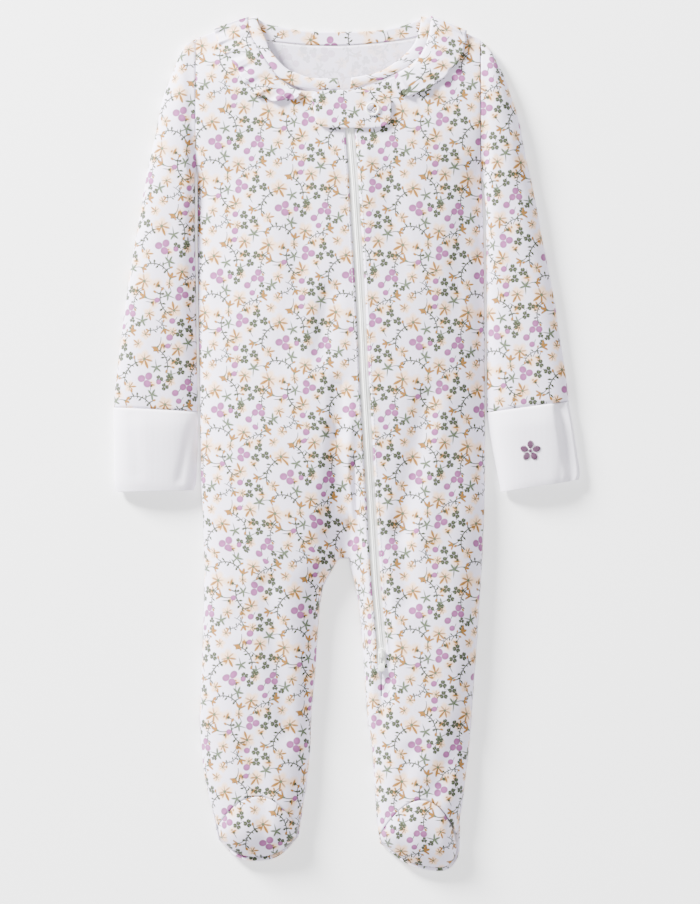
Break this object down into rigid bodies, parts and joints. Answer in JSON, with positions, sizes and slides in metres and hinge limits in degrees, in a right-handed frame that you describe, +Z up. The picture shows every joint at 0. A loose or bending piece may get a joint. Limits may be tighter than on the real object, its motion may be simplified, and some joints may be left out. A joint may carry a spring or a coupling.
{
  "type": "footed baby sleepsuit",
  "caption": "Long-sleeved footed baby sleepsuit laid flat on its back, with a ruffled collar, a zip from the neck into one leg, a snapped zip guard and fold-over cuffs.",
  "frame": {"origin": "under the middle of the laid-out sleepsuit, on the surface it lies on", "axes": "+X to the picture's right, the wearer's left; +Y towards the neck; +Z up from the surface"},
  "size_m": [0.3265, 0.5979, 0.0214],
  "materials": {
    "printed_jersey": "fine cotton jersey, pale lavender white with a ditsy floral print",
    "cuff_jersey": "plain fine cotton jersey, off-white",
    "zip_tape": "woven zip tape, off-white",
    "zip_plastic": "white enamelled slider and pull, nylon coil",
    "snap_plastic": "white ring snap, satin gloss"
  },
  "bodies": {
    "suit": {"right_front": "printed_jersey", "left_front": "printed_jersey", "back": "printed_jersey", "right_sleeve": "printed_jersey", "left_sleeve": "printed_jersey", "right_cuff": "cuff_jersey", "left_cuff": "cuff_jersey", "neckband": "printed_jersey", "right_ruffle": "printed_jersey", "left_ruffle": "printed_jersey", "right_zip_tape": "zip_tape", "left_zip_tape": "zip_tape", "zip_coil": "zip_plastic", "zip_slider": "zip_plastic", "zip_stop": "zip_plastic", "zip_guard": "printed_jersey", "snap_ring": "snap_plastic", "right_vamp": "printed_jersey", "right_sole": "printed_jersey", "left_vamp": "printed_jersey", "left_sole": "printed_jersey"},
    "pull": {"zip_pull": "zip_plastic"}
  },
  "joints": [
    {"name": "pull_swing", "type": "hinge", "parent": "suit", "child": "pull", "pos_m": [0.02403, -0.146, 0.01433], "axis": [-1, 0, 0], "range_deg": [0, 150]}
  ]
}
